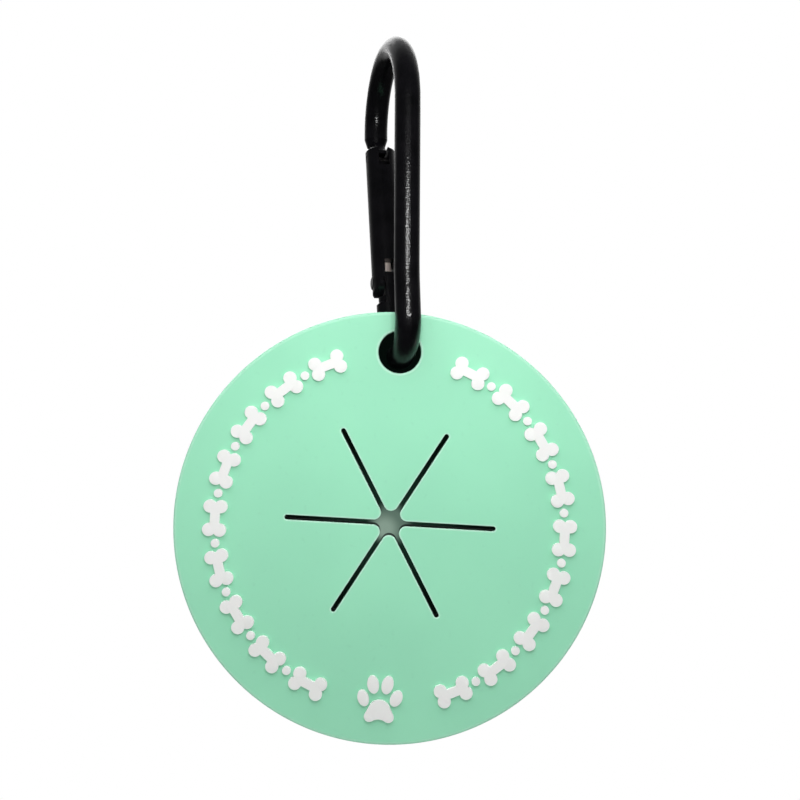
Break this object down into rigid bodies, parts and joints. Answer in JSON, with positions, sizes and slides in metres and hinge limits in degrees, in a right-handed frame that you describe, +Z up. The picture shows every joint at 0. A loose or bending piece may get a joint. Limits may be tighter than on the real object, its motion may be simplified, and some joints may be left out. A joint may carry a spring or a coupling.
{
  "type": "dog waste bag holder",
  "caption": "Soft round disc whose slit star grips the knotted neck of a pet waste bag, hung from a small sprung-gate carabiner.",
  "frame": {"origin": "inside crown of the carabiner's top loop, where a lead ring or belt loop bears", "axes": "+Z up, the way the part hangs; -Y out of the disc's front face, with the raised marks; +X to the right seen from the front. The carabiner's plane is turned 15 degrees about Z from the YZ plane."},
  "size_m": [0.076, 0.0273, 0.1268],
  "materials": {
    "disc_soft": "matt mint green soft PVC",
    "mark_white": "matt white soft PVC",
    "black_anodised": "glossy black anodised",
    "rivet_dark": "black, semi-gloss",
    "steel": "bright steel"
  },
  "bodies": {
    "carabiner": {"carabiner_frame": "black_anodised"},
    "gate": {"gate": "black_anodised", "hinge_rivet": "rivet_dark", "latch_pin": "steel", "gate_spring": "steel"},
    "plunger": {"spring_plunger": "steel"},
    "disc": {"bag_disc": "disc_soft", "paw_heel_pad": "mark_white", "paw_toe_1": "mark_white", "paw_toe_2": "mark_white", "paw_toe_3": "mark_white", "paw_toe_4": "mark_white", "bone_right_1": "mark_white", "bone_right_2": "mark_white", "bone_right_3": "mark_white", "bone_right_4": "mark_white", "bone_right_5": "mark_white", "bone_right_6": "mark_white", "bone_right_7": "mark_white", "bone_right_8": "mark_white", "bone_right_9": "mark_white", "bone_left_1": "mark_white", "bone_left_2": "mark_white", "bone_left_3": "mark_white", "bone_left_4": "mark_white", "bone_left_5": "mark_white", "bone_left_6": "mark_white", "bone_left_7": "mark_white", "bone_left_8": "mark_white", "bone_left_9": "mark_white", "dots_right": "mark_white", "dots_left": "mark_white"}
  },
  "joints": [
    {"name": "gate_hinge", "type": "hinge", "parent": "carabiner", "child": "gate", "pos_m": [-0.00083, 0.00309, -0.03987], "axis": [0.9659, 0.2588, 0], "range_deg": [0, 28], "stiffness_Nm_per_rad": 0.01, "springref_deg": -34.38},
    {"name": "plunger_slide", "type": "slide", "parent": "gate", "child": "plunger", "axis": [-0.0556, 0.2074, 0.9767], "range_m": [0, 0.00101], "deforming": ["gate_spring"]},
    {"name": "disc_swing", "type": "hinge", "parent": "carabiner", "child": "disc", "pos_m": [0.00167, -0.00734, -0.05335], "axis": [0, 1, 0], "range_deg": [-35, 35]}
  ],
  "couplings": [
    {"joint": "plunger_slide", "follows": "gate_hinge", "m_per_rad": 0.00205}
  ]
}
